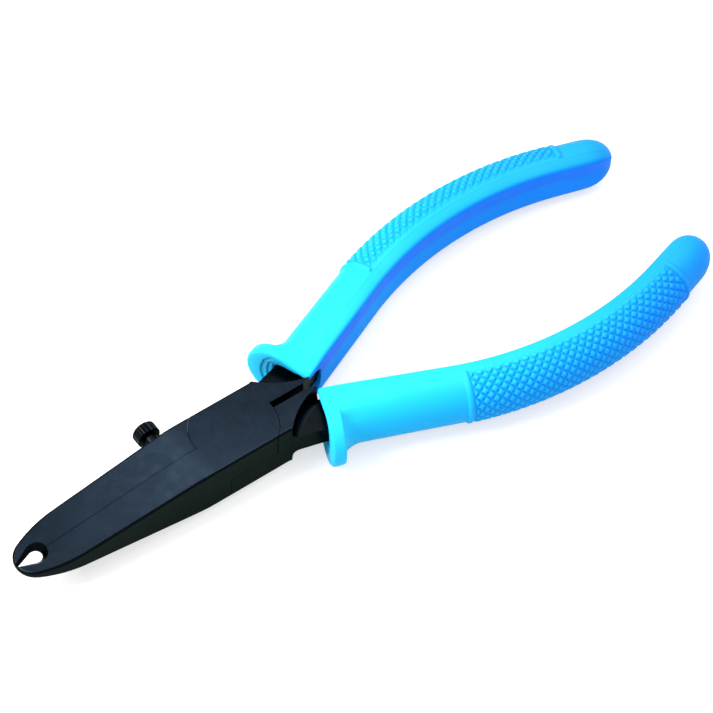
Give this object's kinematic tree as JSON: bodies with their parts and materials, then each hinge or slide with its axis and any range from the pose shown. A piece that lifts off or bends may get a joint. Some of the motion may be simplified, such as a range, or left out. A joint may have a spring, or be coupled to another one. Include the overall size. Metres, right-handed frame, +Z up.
{
  "type": "stripping plier",
  "caption": "Slim lap-joint plier with a tapered nose, a bevelled teardrop stripping hole at its tip, a side stop screw and curved sleeve grips with finger guards.",
  "frame": {"origin": "pivot axis at the head's underside", "axes": "+Z up along the pivot axis, -X along the nose, +X along the handles, +Y towards the jaw that carries the stop screw"},
  "size_m": [0.154, 0.054, 0.0128],
  "materials": {
    "black_steel": "satin black oxide",
    "screw_steel": "black oxide, knurled",
    "grip_rubber": "smooth moulded, slight gloss"
  },
  "bodies": {
    "tapped_half": {"tapped_lever": "black_steel", "tapped_lever_grip": "grip_rubber", "pivot_rivet": "black_steel", "stop_lock_nut": "screw_steel"},
    "plain_half": {"plain_lever": "black_steel", "plain_lever_grip": "grip_rubber"},
    "stop_stud": {"stop_screw_stud": "screw_steel"},
    "stop_knob": {"stop_screw_knob": "screw_steel"}
  },
  "joints": [
    {"name": "jaw_pivot", "type": "hinge", "parent": "tapped_half", "child": "plain_half", "pos_m": [0, 0, 0.0052], "axis": [0, 0, 1], "range_deg": [0, 25]},
    {"name": "stop_screw_travel", "type": "slide", "parent": "tapped_half", "child": "stop_stud", "axis": [0, 1, 0], "range_m": [-0.001, 0.002]},
    {"name": "stop_screw_spin", "type": "hinge", "parent": "stop_stud", "child": "stop_knob", "pos_m": [-0.0126, 0.0112, 0.0052], "axis": [0, 1, 0], "range_deg": [-720, 1440]}
  ],
  "couplings": [
    {"joint": "stop_screw_spin", "follows": "stop_screw_travel", "rad_per_m": 12566}
  ]
}
